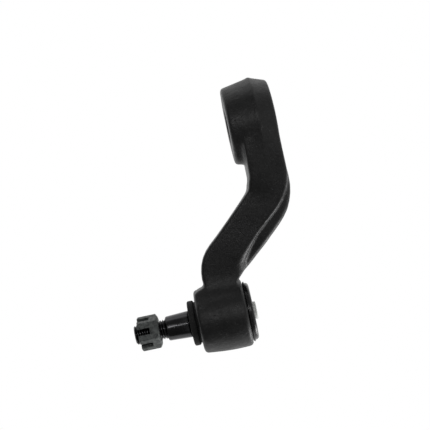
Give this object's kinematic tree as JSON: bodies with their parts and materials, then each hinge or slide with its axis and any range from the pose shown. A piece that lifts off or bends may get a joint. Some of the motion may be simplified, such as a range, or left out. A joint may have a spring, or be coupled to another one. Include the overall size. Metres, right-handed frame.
{
  "type": "idler arm",
  "caption": "Forged steering idler arm: a serrated eye at one end, a stepped keeled arm, and a ball joint with a tapered stud, dust seal and castle nut at the other.",
  "frame": {"origin": "on the eye's bore axis, in the plane of the eye's lower face", "axes": "+Z along the bore, the way the ball stud points; +X from the eye to the ball joint"},
  "size_m": [0.2181, 0.0734, 0.1505],
  "materials": {
    "forging_paint": "satin black paint over a forged surface",
    "cover_paint": "gloss black paint",
    "stud_finish": "smooth ground steel, oiled black",
    "nut_phosphate": "dark grey phosphate",
    "seal_rubber": "matte black",
    "plug_plastic": "light grey",
    "bearing_sinter": "oiled sintered iron",
    "seat_steel": "pressed steel",
    "spring_steel": "spring steel"
  },
  "bodies": {
    "arm": {"arm_forging": "forging_paint", "cover_plate": "cover_paint", "grease_hole_plug": "plug_plastic", "preload_spring": "spring_steel"},
    "seat": {"pressure_seat": "seat_steel", "dust_seal": "seal_rubber"},
    "bearing": {"half_ball_bearing": "bearing_sinter"},
    "stud": {"ball_stud": "stud_finish", "castle_nut": "nut_phosphate"}
  },
  "joints": [
    {"name": "seat_turn", "type": "hinge", "parent": "arm", "child": "seat", "pos_m": [0.1532, 0, 0.0755], "axis": [0, 0, 1], "continuous": true},
    {"name": "stud_tilt", "type": "hinge", "parent": "seat", "child": "bearing", "pos_m": [0.1532, 0, 0.0755], "axis": [0, 1, 0], "range_deg": [-12, 12], "deforming": ["dust_seal"]},
    {"name": "stud_spin", "type": "hinge", "parent": "bearing", "child": "stud", "pos_m": [0.1532, 0, 0.0755], "axis": [0, 0, 1], "continuous": true}
  ]
}
